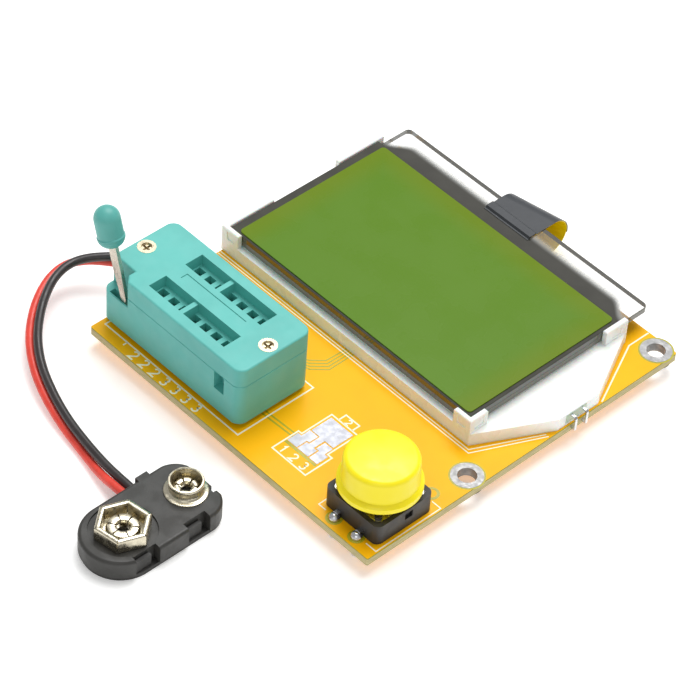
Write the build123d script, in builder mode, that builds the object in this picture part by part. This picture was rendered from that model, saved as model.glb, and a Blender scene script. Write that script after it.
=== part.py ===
from build123d import *
import os
from math import cos, radians, sin, tan

# Component tester: a bare circuit board with a zero-insertion-force test socket, a push button,
# a backlit glass display and a 9 V battery snap with two leads.  Millimetres, +Z up.
#
# Every piece is placed from the board's front-left top corner with at(x, y, z): x runs along the
# board's front edge, y to the back, z up from the board's top face.  The three numbers below put
# that corner where the whole tester stands on z = 0 with its footprint centred on the origin.
BOARD_LEFT = -31.9444
BOARD_FRONT = -37.9345
FLOOR_GAP = 2.4

# Circuit board
BOARD_LENGTH = 65.4
BOARD_WIDTH = 69.0
BOARD_THICKNESS = 1.6
BOARD_CORNER = 0.3
BOARD_TOP = FLOOR_GAP + BOARD_THICKNESS
UNDERSIDE = -BOARD_THICKNESS
FLOOR = -BOARD_TOP
SCREW_HOLES = [(62.8, 23.8), (62.8, 66.8)]
SCREW_HOLE_RADIUS = 1.6
PLATING = 0.08
ANNULUS_RADIUS = 2.7
PAD_THICKNESS = 0.06

# Test socket
PITCH = 2.54
ROW_SPACING = 7.62
WAYS = 7
SOCKET_LENGTH = 33.1
SOCKET_WIDTH = 15.3
SOCKET_CENTRE = (16.16, 10.34)
SOCKET_LEFT = SOCKET_CENTRE[0] - SOCKET_LENGTH / 2
SOCKET_FRONT = SOCKET_CENTRE[1] - SOCKET_WIDTH / 2
SOCKET_SEAT = 0.9
SOCKET_SPLIT = 9.0
SOCKET_TOP = 12.7
SOCKET_CORNER = 1.8
LEDGE_TOP = 6.92
NOTCH_LENGTH = 5.15
NOTCH_WIDTH = 2.5
NOTCH_CUT = 1.2
SEAM = 0.12
FIRST_CONTACT = 9.75
FRONT_ROW = SOCKET_CENTRE[1] - ROW_SPACING / 2
CONTACTS = [
    (FIRST_CONTACT + PITCH * way, FRONT_ROW + ROW_SPACING * row) for row in (0, 1) for way in range(WAYS)
]
BAY_LENGTH = 17.85
BAY_WIDTH = 3.6
BAY_DEPTH = 2.2
BAY_MIDDLE = FIRST_CONTACT + 3 * PITCH + 0.25
DIVIDER = FIRST_CONTACT + 2.5 * PITCH
SCREW_PLACES = [(1.64, 10.3), (30.68, 10.3)]
SCREW_HEAD_RADIUS = 1.55
SCREW_SHANK_RADIUS = 1.1
PIN_RADIUS = 0.25
PIN_HOLE_RADIUS = 0.45
PIN_END = -3.7

# Socket lever: a flat rod on a crankshaft that lies along y
LEVER_X = 4.6
LEVER_Z = 6.3
LEVER_Y = 3.545
LEVER_LEAN = 17.5
ROD_THICKNESS = 0.95
ROD_WIDTH = 1.9
ROD_END = 15.5
LEVER_SLOT_LEFT = 1.2
LEVER_SLOT_HALF_WIDTH = 0.555
LEVER_SLOT_BOTTOM = 5.4
SHAFT_RADIUS = 0.6
SHAFT_END = 15.3
SHAFT_CLEARANCE = 0.05
CRANK_THROW = 0.8
CRANK_ANGLE = 30.0
CRANK_PIN_RADIUS = 0.45
HUB_RADIUS = 0.7
CRANK_WEB = 0.3
CRANK_FRONT = 7.2
CRANK_BACK = 13.4
KNOB_START = 11.1
KNOB_RADIUS = 2.2
KNOB_COLLAR = 2.34
KNOB_TIP = 18.2
SLIDER_BOTTOM = 7.0
SLIDER_TOP = 8.8
SLIDER_LEFT = 5.52
SLIDER_RIGHT = 27.9

# Push button
SWITCH = (58.45, 8.75)
SWITCH_SIDE = 12.0
SWITCH_HEIGHT = 3.9
PLATE_SIDE = 10.3
PLATE_THICKNESS = 0.4
STEM_RADIUS = 3.3
STEM_BOTTOM = 1.95
STEM_SHOULDER = 5.0
STEM_SQUARE = 3.8
STEM_TOP = 8.2
CAP_BOTTOM = 5.2
CAP_TOP = 11.7
FLANGE_RADIUS = 6.8
CAP_RADIUS = 6.2
CAP_WALL = 1.0
CAP_SPHERE = 40.0
DOME_TOP = 1.55
DOME_SPHERE = 12.8
DOME_SWEEP = 14.5
TERMINAL_HALF_SPACING = 2.5
TERMINAL_REACH = 6.65
TERMINAL_WIDTH = 0.9
TERMINAL_THICKNESS = 0.4
PEG_OFFSET = 4.2
PEG_RADIUS = 0.6

# Display, from the board up
GUIDE_LEFT = -0.3
GUIDE_RIGHT = 58.3
GUIDE_FRONT = 28.4
GUIDE_BACK = 63.9
GUIDE_TOP = 2.5
WING_TIP = 65.1
WING_FRONT = 41.6
WING_BACK = 50.8
CLIP_TOP = 5.3
CLIP_WALL = 0.9
GLASS_LEFT = 0.7
GLASS_RIGHT = 57.3
GLASS_FRONT = 29.4
FRONT_GLASS_BACK = 63.0
LEDGE_BACK = 70.2
DIFFUSER_TOP = GUIDE_TOP + 0.2
REAR_POLARISER_TOP = DIFFUSER_TOP + 0.2
LEDGE_GLASS_TOP = REAR_POLARISER_TOP + 1.1
GLASS_TOP = LEDGE_GLASS_TOP + 1.0
POLARISER_TOP = GLASS_TOP + 0.2
POLARISER_LEFT = 2.4
POLARISER_RIGHT = 56.6
POLARISER_BACK = 62.5
FLEX_LEFT = 23.6
FLEX_RIGHT = 33.6
FLEX_THICKNESS = 0.12
FLEX_RETURN = -2.9
TAPE_THICKNESS = 0.1

# Battery snap, lying in front of the board on the floor
SNAP_X = 37.1
SNAP_FRONT = -31.6
SNAP_BACK = -8.0
SNAP_WIDTH = 13.0
SNAP_TOP = 0.2
SNAP_PLATE_TOP = FLOOR + 0.8
STUD_SPACING = 12.7
SOCKET_STUD_Y = -24.55
PIN_STUD_Y = SOCKET_STUD_Y + STUD_SPACING
HEX_FLATS = 8.2
HEX_TURN = 9.0
HEX_TOP = SNAP_TOP + 2.1
STUD_RADIUS = 2.86
STUD_TOP = SNAP_TOP + 2.4
LEAD_DIAMETER = 1.5
LEAD_SOCKET = 1.6

# Routes of the two battery leads, from the solder joints on the board to the snap
BLACK_ROUTE = [
    (1.4, 22.6, 1.3),
    (-2.4, 19.0, 2.1),
    (-5.5, 15.2, 2.4),
    (-8.5, 11.4, 2.5),
    (-10.8, 8.5, 2.3),
    (-12.0, 5.6, 1.9),
    (-11.4, 2.0, 1.6),
    (-9.3, -1.8, 1.2),
    (-6.2, -5.6, 0.7),
    (-2.6, -8.9, 0.2),
    (1.9, -11.6, -0.5),
    (7.2, -13.6, -1.1),
    (12.6, -15.1, -1.5),
    (18.2, -16.1, -1.6),
    (23.6, -16.8, -1.6),
    (28.2, -17.0, -1.5),
    (32.2, -17.0, -1.5),
]
RED_ROUTE = [
    (1.4, 19.9, 0.9),
    (-2.4, 16.9, 0.9),
    (-5.5, 14.2, 0.9),
    (-8.6, 11.8, 0.9),
    (-11.5, 9.3, 0.8),
    (-13.2, 6.2, 0.7),
    (-12.9, 2.4, 0.5),
    (-10.8, -2.0, 0.2),
    (-7.4, -6.4, -0.3),
    (-3.4, -9.9, -1.0),
    (1.6, -12.7, -1.7),
    (7.0, -14.6, -2.4),
    (12.6, -15.9, -2.9),
    (18.4, -16.8, -3.2),
    (23.8, -18.0, -2.7),
    (28.2, -18.65, -1.6),
    (32.2, -18.65, -1.5),
]


def at(x, y, z):
    """Horizontal plane through a point measured from the board's front-left top corner."""
    return Plane((BOARD_LEFT + x, BOARD_FRONT + y, BOARD_TOP + z))


def facing_front(x, y, z):
    """Upright plane: its x runs along the board, its y goes up and its normal points to the front."""
    return Plane((BOARD_LEFT + x, BOARD_FRONT + y, BOARD_TOP + z), x_dir=(1, 0, 0), z_dir=(0, -1, 0))


def facing_right(x, y, z):
    """Upright plane: its x runs to the back, its y goes up and its normal points to the right."""
    return Plane((BOARD_LEFT + x, BOARD_FRONT + y, BOARD_TOP + z), x_dir=(0, 1, 0), z_dir=(1, 0, 0))


def block(x0, x1, y0, y1, z0, z1, mode=Mode.ADD):
    """Add or cut a straight-sided block in the part being built, from its two corners."""
    with BuildSketch(at(0, 0, z0)) as plan:
        with Locations(((x0 + x1) / 2, (y0 + y1) / 2)):
            Rectangle(x1 - x0, y1 - y0)
    extrude(plan.sketch, amount=z1 - z0, mode=mode)


def post(x, y, z0, z1, radius, mode=Mode.ADD):
    """Add or cut an upright cylinder in the part being built."""
    with BuildSketch(at(x, y, z0)) as plan:
        Circle(radius)
    extrude(plan.sketch, amount=z1 - z0, mode=mode)


def finish(builder, name):
    """Label a finished piece and write it as one node."""
    builder.part.label = name
    export_step(builder.part, f"parts/{name}.step")


os.makedirs("parts", exist_ok=True)

# ---------------------------------------------------------------- circuit board
TERMINALS = [
    (SWITCH[0] + side * TERMINAL_HALF_SPACING, SWITCH[1] + end * TERMINAL_REACH, end)
    for side in (-1, 1)
    for end in (-1, 1)
]

with BuildPart() as circuit_board:
    with BuildSketch(at(0, 0, UNDERSIDE)):
        with Locations((BOARD_LENGTH / 2, BOARD_WIDTH / 2)):
            RectangleRounded(BOARD_LENGTH, BOARD_WIDTH, BOARD_CORNER)
        with Locations(*SCREW_HOLES):
            Circle(SCREW_HOLE_RADIUS + PLATING, mode=Mode.SUBTRACT)
        with Locations(*CONTACTS):
            Circle(PIN_HOLE_RADIUS, mode=Mode.SUBTRACT)
        with Locations(*[(x, y) for x, y, end in TERMINALS]):
            Circle(PIN_HOLE_RADIUS + 0.15, mode=Mode.SUBTRACT)
    extrude(amount=BOARD_THICKNESS)
finish(circuit_board, "circuit_board")

with BuildPart() as hole_plating:
    for x, y in SCREW_HOLES:
        post(x, y, UNDERSIDE - PAD_THICKNESS, PAD_THICKNESS, SCREW_HOLE_RADIUS + PLATING)
        post(x, y, 0, PAD_THICKNESS, ANNULUS_RADIUS)
        post(x, y, UNDERSIDE - PAD_THICKNESS, UNDERSIDE, ANNULUS_RADIUS)
        post(x, y, UNDERSIDE - PAD_THICKNESS, PAD_THICKNESS, SCREW_HOLE_RADIUS, mode=Mode.SUBTRACT)
finish(hole_plating, "hole_plating")

# Tinned pads for surface-mounted parts: a large one that runs on into the middle one of three.
with BuildPart() as test_pads:
    with BuildSketch(at(0, 0, 0)):
        for corners in (
            (
                (40.0, 11.75),
                (40.0, 16.0),
                (45.05, 16.0),
                (45.05, 11.75),
                (43.1, 11.75),
                (43.1, 9.4),
                (43.85, 9.4),
                (43.85, 7.45),
                (41.45, 7.45),
                (41.45, 9.45),
                (41.95, 9.45),
                (41.95, 11.75),
            ),
            (
                (39.1, 7.45),
                (39.1, 9.75),
                (39.85, 9.75),
                (39.85, 11.55),
                (41.75, 11.55),
                (41.75, 9.65),
                (41.25, 9.65),
                (41.25, 7.45),
            ),
            (
                (44.1, 7.45),
                (44.1, 9.6),
                (43.4, 9.6),
                (43.4, 11.5),
                (45.2, 11.5),
                (45.2, 9.8),
                (45.95, 9.8),
                (45.95, 7.45),
            ),
        ):
            with BuildLine():
                Polyline(*corners, close=True)
            make_face()
    extrude(amount=PAD_THICKNESS)
finish(test_pads, "test_pads")

# ---------------------------------------------------------------- display
# The clips stand along the light guide's edges: left, right, front and back of each one.
CLIPS = [
    (GUIDE_LEFT, GUIDE_LEFT + CLIP_WALL, GUIDE_FRONT, 39.2),
    (GUIDE_LEFT, 3.6, GUIDE_FRONT, GUIDE_FRONT + CLIP_WALL),
    (GUIDE_LEFT, GUIDE_LEFT + CLIP_WALL, 53.9, GUIDE_BACK + 0.4),
    (54.5, GUIDE_RIGHT, GUIDE_FRONT, GUIDE_FRONT + CLIP_WALL),
    (GUIDE_RIGHT - CLIP_WALL, GUIDE_RIGHT, GUIDE_FRONT, 32.3),
    (GUIDE_RIGHT - CLIP_WALL, GUIDE_RIGHT, 59.2, GUIDE_BACK + 0.3),
]
LED_FRONT = 43.3
LED_BACK = 48.0
LED_DEPTH = 1.6

with BuildPart() as light_guide:
    with BuildSketch(at(0, 0, 0)):
        with BuildLine():
            Polyline(
                (GUIDE_LEFT, GUIDE_FRONT),
                (GUIDE_RIGHT, GUIDE_FRONT),
                (WING_TIP, WING_FRONT),
                (WING_TIP, WING_BACK),
                (GUIDE_RIGHT, GUIDE_BACK),
                (GUIDE_LEFT, GUIDE_BACK),
                close=True,
            )
        make_face()
    extrude(amount=GUIDE_TOP)
    for x0, x1, y0, y1 in CLIPS:
        block(x0, x1, y0, y1, 0, CLIP_TOP)
    chamfer(light_guide.edges().group_by(Axis.Z)[-1], length=0.15)
    # Shallow panels let into the outer faces of the corner clips.
    with BuildSketch(facing_front(0, GUIDE_FRONT, 0)):
        with Locations((1.8, 3.9), (56.3, 3.9)):
            Rectangle(1.7, 1.7)
    extrude(amount=-0.15, mode=Mode.SUBTRACT)
    with BuildSketch(facing_right(GUIDE_RIGHT, 0, 0)):
        with Locations((30.5, 3.9), (61.7, 3.9)):
            Rectangle(2.0, 1.7)
    extrude(amount=-0.15, mode=Mode.SUBTRACT)
    # The pocket that holds the edge light.
    block(WING_TIP - LED_DEPTH, WING_TIP, LED_FRONT, LED_BACK, 0.4, GUIDE_TOP - 0.3, mode=Mode.SUBTRACT)
finish(light_guide, "light_guide")

with BuildPart() as edge_light:
    block(WING_TIP - LED_DEPTH, WING_TIP, LED_FRONT, LED_BACK, 0.4, GUIDE_TOP - 0.3)
finish(edge_light, "edge_light")

LED_LEAD_PLACES = (44.5, 47.0)
LED_LEAD_WIDTH = 0.5
with BuildPart() as edge_light_leads:
    for y in LED_LEAD_PLACES:
        with BuildSketch(facing_front(WING_TIP, y, 0)):
            with BuildLine():
                Polyline(
                    (0, 1.9),
                    (0.9, 1.9),
                    (1.2, 1.6),
                    (1.2, -0.9),
                    (0.3, -0.9),
                    (0.3, -0.6),
                    (0.9, -0.6),
                    (0.9, 1.4),
                    (0.75, 1.6),
                    (0, 1.6),
                    close=True,
                )
            make_face()
        extrude(amount=LED_LEAD_WIDTH / 2, both=True)
finish(edge_light_leads, "edge_light_leads")

with BuildPart() as diffuser_film:
    block(GLASS_LEFT + 0.2, GLASS_RIGHT - 0.2, GLASS_FRONT + 0.2, GUIDE_BACK - 0.2, GUIDE_TOP, DIFFUSER_TOP)
finish(diffuser_film, "diffuser_film")

with BuildPart() as rear_polariser:
    block(
        POLARISER_LEFT,
        POLARISER_RIGHT,
        GLASS_FRONT + 0.4,
        GUIDE_BACK - 0.4,
        DIFFUSER_TOP,
        REAR_POLARISER_TOP,
    )
finish(rear_polariser, "rear_polariser")

with BuildPart() as rear_glass:
    block(GLASS_LEFT, GLASS_RIGHT, GLASS_FRONT, LEDGE_BACK, REAR_POLARISER_TOP, LEDGE_GLASS_TOP)
    fillet(rear_glass.edges().filter_by(Axis.Z).group_by(Axis.Y)[-1], radius=1.0)
    chamfer(rear_glass.edges().group_by(Axis.Z)[-1], length=0.1)
finish(rear_glass, "rear_glass")

with BuildPart() as front_glass:
    block(GLASS_LEFT, GLASS_RIGHT, GLASS_FRONT, FRONT_GLASS_BACK, LEDGE_GLASS_TOP, GLASS_TOP)
    chamfer(front_glass.edges().group_by(Axis.Z)[-1], length=0.12)
finish(front_glass, "front_glass")

with BuildPart() as front_polariser:
    with BuildSketch(at(0, 0, GLASS_TOP)):
        with Locations(((POLARISER_LEFT + POLARISER_RIGHT) / 2, (GLASS_FRONT + 0.4 + POLARISER_BACK) / 2)):
            RectangleRounded(POLARISER_RIGHT - POLARISER_LEFT, POLARISER_BACK - GLASS_FRONT - 0.4, 0.7)
    extrude(amount=POLARISER_TOP - GLASS_TOP)
finish(front_polariser, "front_polariser")

CHIP_FRONT = 66.4
CHIP_BACK = 67.7
CHIP_HEIGHT = 0.4
FLEX_START = 68.0
with BuildPart() as driver_chip:
    block(
        FLEX_LEFT + 0.8,
        FLEX_RIGHT - 0.8,
        CHIP_FRONT,
        CHIP_BACK,
        LEDGE_GLASS_TOP,
        LEDGE_GLASS_TOP + CHIP_HEIGHT,
    )
finish(driver_chip, "driver_chip")

# The flexible tail leaves the ledge, bends round behind the board and comes back under it.  The
# bend lies askew: it starts further back at the right-hand edge than at the left.
TURN_LEFT = 70.3
TURN_RIGHT = 72.2
FLEX_PLUGGED = 63.5
FLEX_TOP = LEDGE_GLASS_TOP + FLEX_THICKNESS
TURN_MIDDLE = (FLEX_TOP + FLEX_RETURN - FLEX_THICKNESS / 2) / 2
TURN_OUTSIDE = FLEX_TOP - TURN_MIDDLE
TURN_INSIDE = TURN_OUTSIDE - FLEX_THICKNESS


def flex_edge(x, turn):
    """Face of the tail's edge at x, whose bend starts at turn."""
    with BuildSketch(facing_right(x, 0, 0)) as edge_face:
        with BuildLine():
            Line((FLEX_START, FLEX_TOP), (turn, FLEX_TOP))
            ThreePointArc(
                (turn, FLEX_TOP),
                (turn + TURN_OUTSIDE, TURN_MIDDLE),
                (turn, TURN_MIDDLE - TURN_OUTSIDE),
            )
            Line((turn, TURN_MIDDLE - TURN_OUTSIDE), (FLEX_PLUGGED, TURN_MIDDLE - TURN_OUTSIDE))
            Line((FLEX_PLUGGED, TURN_MIDDLE - TURN_OUTSIDE), (FLEX_PLUGGED, TURN_MIDDLE - TURN_INSIDE))
            Line((FLEX_PLUGGED, TURN_MIDDLE - TURN_INSIDE), (turn, TURN_MIDDLE - TURN_INSIDE))
            ThreePointArc(
                (turn, TURN_MIDDLE - TURN_INSIDE),
                (turn + TURN_INSIDE, TURN_MIDDLE),
                (turn, LEDGE_GLASS_TOP),
            )
            Line((turn, LEDGE_GLASS_TOP), (FLEX_START, LEDGE_GLASS_TOP))
            Line((FLEX_START, LEDGE_GLASS_TOP), (FLEX_START, FLEX_TOP))
        make_face()
    return edge_face.sketch.face()


with BuildPart() as flex_tail:
    loft([flex_edge(FLEX_LEFT, TURN_LEFT), flex_edge(FLEX_RIGHT, TURN_RIGHT)], ruled=True)
finish(flex_tail, "flex_tail")

# Black tape over the driver chip, the bonded end of the tail and the outside of its bend.
TAPE_FRONT = 65.8
TAPE_GAP = 0.01
TAPE_ON_CHIP = LEDGE_GLASS_TOP + CHIP_HEIGHT + TAPE_GAP
TAPE_ON_FLEX = FLEX_TOP + TAPE_GAP
TAPE_TAIL = 0.6


def tape_edge(x):
    """Face of the tape's edge at x, over the tail's bend."""
    turn = TURN_LEFT + (TURN_RIGHT - TURN_LEFT) * (x - FLEX_LEFT) / (FLEX_RIGHT - FLEX_LEFT)
    under = [
        (TAPE_FRONT, LEDGE_GLASS_TOP),
        (CHIP_FRONT - 0.3, LEDGE_GLASS_TOP),
        (CHIP_FRONT - 0.05, TAPE_ON_CHIP),
        (CHIP_BACK + 0.05, TAPE_ON_CHIP),
        (FLEX_START + 0.1, TAPE_ON_FLEX),
        (turn, TAPE_ON_FLEX),
    ]
    inside = TAPE_ON_FLEX - TURN_MIDDLE
    outside = inside + TAPE_THICKNESS
    end = TURN_MIDDLE - TAPE_TAIL
    diagonal = cos(radians(45))
    with BuildSketch(facing_right(x, 0, 0)) as edge_face:
        with BuildLine():
            Polyline(*under)
            ThreePointArc(
                under[-1],
                (turn + inside * diagonal, TURN_MIDDLE + inside * diagonal),
                (turn + inside, TURN_MIDDLE),
            )
            Polyline(
                (turn + inside, TURN_MIDDLE),
                (turn + inside, end),
                (turn + outside, end),
                (turn + outside, TURN_MIDDLE),
            )
            ThreePointArc(
                (turn + outside, TURN_MIDDLE),
                (turn + outside * diagonal, TURN_MIDDLE + outside * diagonal),
                (turn, TURN_MIDDLE + outside),
            )
            Polyline(*[(y, z + TAPE_THICKNESS) for y, z in reversed(under)])
            Line((TAPE_FRONT, LEDGE_GLASS_TOP + TAPE_THICKNESS), under[0])
        make_face()
    return edge_face.sketch.face()


with BuildPart() as cover_tape:
    loft([tape_edge(FLEX_LEFT - 0.1), tape_edge(FLEX_RIGHT + 0.1)], ruled=True)
finish(cover_tape, "cover_tape")

with BuildPart() as flex_connector:
    block(FLEX_LEFT - 1.8, FLEX_RIGHT + 1.8, 60.8, 66.4, FLOOR, UNDERSIDE)
    block(
        FLEX_LEFT - 0.2,
        FLEX_RIGHT + 0.2,
        FLEX_PLUGGED,
        66.4,
        FLEX_RETURN - 0.25,
        FLEX_RETURN + 0.25,
        mode=Mode.SUBTRACT,
    )
finish(flex_connector, "flex_connector")

# ---------------------------------------------------------------- test socket
NOTCH_RIGHT = SOCKET_LEFT + NOTCH_LENGTH
NOTCH_BACK = SOCKET_FRONT + NOTCH_WIDTH


def socket_outline():
    """The socket's rounded plan, drawn in the sketch being built."""
    with Locations(SOCKET_CENTRE):
        RectangleRounded(SOCKET_LENGTH, SOCKET_WIDTH, SOCKET_CORNER)


def cut_notch(z0, z1):
    """Cut the lever's corner notch, whose front corner is cut off, in the part being built."""
    with BuildSketch(at(0, 0, z0)) as plan:
        with BuildLine():
            Polyline(
                (SOCKET_LEFT - 1, NOTCH_BACK),
                (NOTCH_RIGHT, NOTCH_BACK),
                (NOTCH_RIGHT, SOCKET_FRONT + NOTCH_CUT),
                (NOTCH_RIGHT + NOTCH_CUT, SOCKET_FRONT),
                (NOTCH_RIGHT + NOTCH_CUT, SOCKET_FRONT - 1),
                (SOCKET_LEFT - 1, SOCKET_FRONT - 1),
                close=True,
            )
        make_face()
    extrude(plan.sketch, amount=z1 - z0, mode=Mode.SUBTRACT)


with BuildPart() as socket_base:
    with BuildSketch(at(0, 0, SOCKET_SEAT)):
        socket_outline()
    extrude(amount=SOCKET_SPLIT - SOCKET_SEAT)
    for x in (SOCKET_LEFT + 2.2, SOCKET_LEFT + SOCKET_LENGTH - 2.2):
        for y in (SOCKET_FRONT + 2.4, SOCKET_FRONT + SOCKET_WIDTH - 2.4):
            post(x, y, 0, SOCKET_SEAT, 1.0)
    chamfer(socket_base.edges().group_by(Axis.Z)[-1], length=SEAM)
    # Corner ledge under the lever, with the slot that the lever swings in.
    cut_notch(LEDGE_TOP, SOCKET_SPLIT)
    for x0, x1, top in (
        (LEVER_SLOT_LEFT, LEVER_X + HUB_RADIUS + 0.15, LEDGE_TOP),
        (NOTCH_RIGHT - 0.1, LEVER_X + HUB_RADIUS + 0.15, SOCKET_SPLIT),
    ):
        block(
            x0,
            x1,
            LEVER_Y - LEVER_SLOT_HALF_WIDTH,
            LEVER_Y + LEVER_SLOT_HALF_WIDTH,
            LEVER_SLOT_BOTTOM,
            top,
            mode=Mode.SUBTRACT,
        )
    # Slider bed, crank space and one pocket for each contact.
    block(5.4, 28.9, 4.6, 16.1, SLIDER_BOTTOM - 0.1, SOCKET_SPLIT, mode=Mode.SUBTRACT)
    block(3.15, 6.2, CRANK_FRONT - 0.4, CRANK_BACK + 0.4, 4.8, SOCKET_SPLIT, mode=Mode.SUBTRACT)
    with BuildSketch(facing_front(LEVER_X, SHAFT_END, LEVER_Z)):
        Circle(SHAFT_RADIUS + SHAFT_CLEARANCE)
    extrude(amount=SHAFT_END - LEVER_Y, mode=Mode.SUBTRACT)
    for x, y in CONTACTS:
        block(x - 0.7, x + 0.7, y - 1.2, y + 1.2, 2.0, SLIDER_BOTTOM, mode=Mode.SUBTRACT)
        post(x, y, SOCKET_SEAT, 2.0, PIN_RADIUS + 0.05, mode=Mode.SUBTRACT)
    for x, y in SCREW_PLACES:
        post(x, y, 2.0, SOCKET_SPLIT, SCREW_SHANK_RADIUS, mode=Mode.SUBTRACT)
    # Inspection window low in the front wall.
    block(26.8, 29.1, SOCKET_FRONT, SOCKET_FRONT + 1.7, 5.3, 8.9, mode=Mode.SUBTRACT)
finish(socket_base, "socket_base")

with BuildPart() as socket_cover:
    with BuildSketch(at(0, 0, SOCKET_SPLIT)):
        socket_outline()
    extrude(amount=SOCKET_TOP - SOCKET_SPLIT)
    chamfer(socket_cover.edges().group_by(Axis.Z)[0], length=SEAM)
    cut_notch(SOCKET_SPLIT, SOCKET_TOP)
    fillet(socket_cover.edges().group_by(Axis.Z)[-1], radius=0.35)
    # Two bays of seven ways, each with a rib after the third, and a hole over each contact.
    for row in (0, 1):
        y = FRONT_ROW + ROW_SPACING * row
        for x0, x1 in (
            (BAY_MIDDLE - BAY_LENGTH / 2, DIVIDER - 0.45),
            (DIVIDER + 0.45, BAY_MIDDLE + BAY_LENGTH / 2),
        ):
            block(
                x0,
                x1,
                y - BAY_WIDTH / 2,
                y + BAY_WIDTH / 2,
                SOCKET_TOP - BAY_DEPTH,
                SOCKET_TOP,
                mode=Mode.SUBTRACT,
            )
        block(
            DIVIDER - 0.5,
            DIVIDER + 0.5,
            y - BAY_WIDTH / 2,
            y + BAY_WIDTH / 2,
            SOCKET_TOP - 0.5,
            SOCKET_TOP,
            mode=Mode.SUBTRACT,
        )
    for x, y in CONTACTS:
        block(x - 0.8, x + 0.8, y - 0.8, y + 1.1, SOCKET_SPLIT, SOCKET_TOP - BAY_DEPTH, mode=Mode.SUBTRACT)
    # Engraved index line between the bays.
    block(10.5, 24.6, 11.0, 11.22, SOCKET_TOP - 0.15, SOCKET_TOP, mode=Mode.SUBTRACT)
    block(10.5, 10.72, 9.8, 11.22, SOCKET_TOP - 0.15, SOCKET_TOP, mode=Mode.SUBTRACT)
    for x, y in SCREW_PLACES:
        post(x, y, SOCKET_SPLIT, SOCKET_TOP, SCREW_SHANK_RADIUS, mode=Mode.SUBTRACT)
        post(x, y, SOCKET_TOP - 0.6, SOCKET_TOP, SCREW_HEAD_RADIUS, mode=Mode.SUBTRACT)
finish(socket_cover, "socket_cover")

with BuildPart() as socket_screws:
    for x, y in SCREW_PLACES:
        post(x, y, 2.0, SOCKET_TOP - 0.6, SCREW_SHANK_RADIUS)
        post(x, y, SOCKET_TOP - 0.6, SOCKET_TOP + 0.05, SCREW_HEAD_RADIUS)
        post(x, y, SOCKET_TOP - 0.3, SOCKET_TOP + 0.05, 0.95, mode=Mode.SUBTRACT)
        for half_length, half_width in ((0.85, 0.2), (0.2, 0.85)):
            block(
                x - half_length,
                x + half_length,
                y - half_width,
                y + half_width,
                SOCKET_TOP - 0.9,
                SOCKET_TOP,
                mode=Mode.SUBTRACT,
            )
finish(socket_screws, "socket_screws")

with BuildPart() as contact_slider:
    block(6.2, SLIDER_RIGHT, 4.85, 15.85, SLIDER_BOTTOM, SLIDER_TOP)
    block(SLIDER_LEFT, 6.5, CRANK_FRONT, CRANK_BACK, SLIDER_BOTTOM, SLIDER_TOP)
    for x, y in CONTACTS:
        block(x - 0.55, x + 1.3, y - 1.15, y + 1.15, SLIDER_BOTTOM, SLIDER_TOP, mode=Mode.SUBTRACT)
finish(contact_slider, "contact_slider")

with BuildPart() as socket_contacts:
    for x, y in CONTACTS:
        block(x - 0.15, x + 0.15, y - 0.8, y + 0.8, 2.0, 8.5)
        block(x - 0.15, x + 0.45, y - 0.8, y + 0.8, 4.2, 4.5)
        post(x, y, PIN_END, 2.0, PIN_RADIUS)
finish(socket_contacts, "socket_contacts")

LEAN = radians(LEVER_LEAN)
LEVER_POINT = (BOARD_LEFT + LEVER_X, BOARD_FRONT + LEVER_Y, BOARD_TOP + LEVER_Z)
LEVER_PLANE = Plane(LEVER_POINT, x_dir=(cos(LEAN), 0, sin(LEAN)), z_dir=(0, -1, 0))
CRANK_X = LEVER_X + CRANK_THROW * sin(radians(CRANK_ANGLE))
CRANK_Z = LEVER_Z + CRANK_THROW * cos(radians(CRANK_ANGLE))


def along_shaft(x, z, radius, y0, y1):
    """Add a round bar that lies along y to the part being built."""
    with BuildSketch(facing_front(x, y0, z)) as section:
        Circle(radius)
    extrude(section.sketch, amount=y0 - y1)


with BuildPart() as socket_lever:
    with BuildSketch(LEVER_PLANE):
        with BuildLine():
            Polyline(
                (-0.5, 0),
                (-0.65, 3.0),
                (-0.9, 6.0),
                (-ROD_WIDTH / 2, ROD_END),
                (ROD_WIDTH / 2, ROD_END),
                (0.9, 6.0),
                (0.65, 3.0),
                (0.5, 0),
                close=True,
            )
        make_face()
        Circle(HUB_RADIUS)
    extrude(amount=ROD_THICKNESS / 2, both=True)
    long_edges = socket_lever.edges().filter_by(GeomType.LINE).filter_by(lambda edge: edge.length > 8)
    chamfer(long_edges, length=0.2)
    along_shaft(LEVER_X, LEVER_Z, SHAFT_RADIUS, LEVER_Y, CRANK_FRONT + CRANK_WEB)
    along_shaft(LEVER_X, LEVER_Z, SHAFT_RADIUS, CRANK_BACK - CRANK_WEB, SHAFT_END - 0.1)
    along_shaft(CRANK_X, CRANK_Z, CRANK_PIN_RADIUS, CRANK_FRONT - CRANK_WEB, CRANK_BACK + CRANK_WEB)
finish(socket_lever, "socket_lever")

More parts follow.
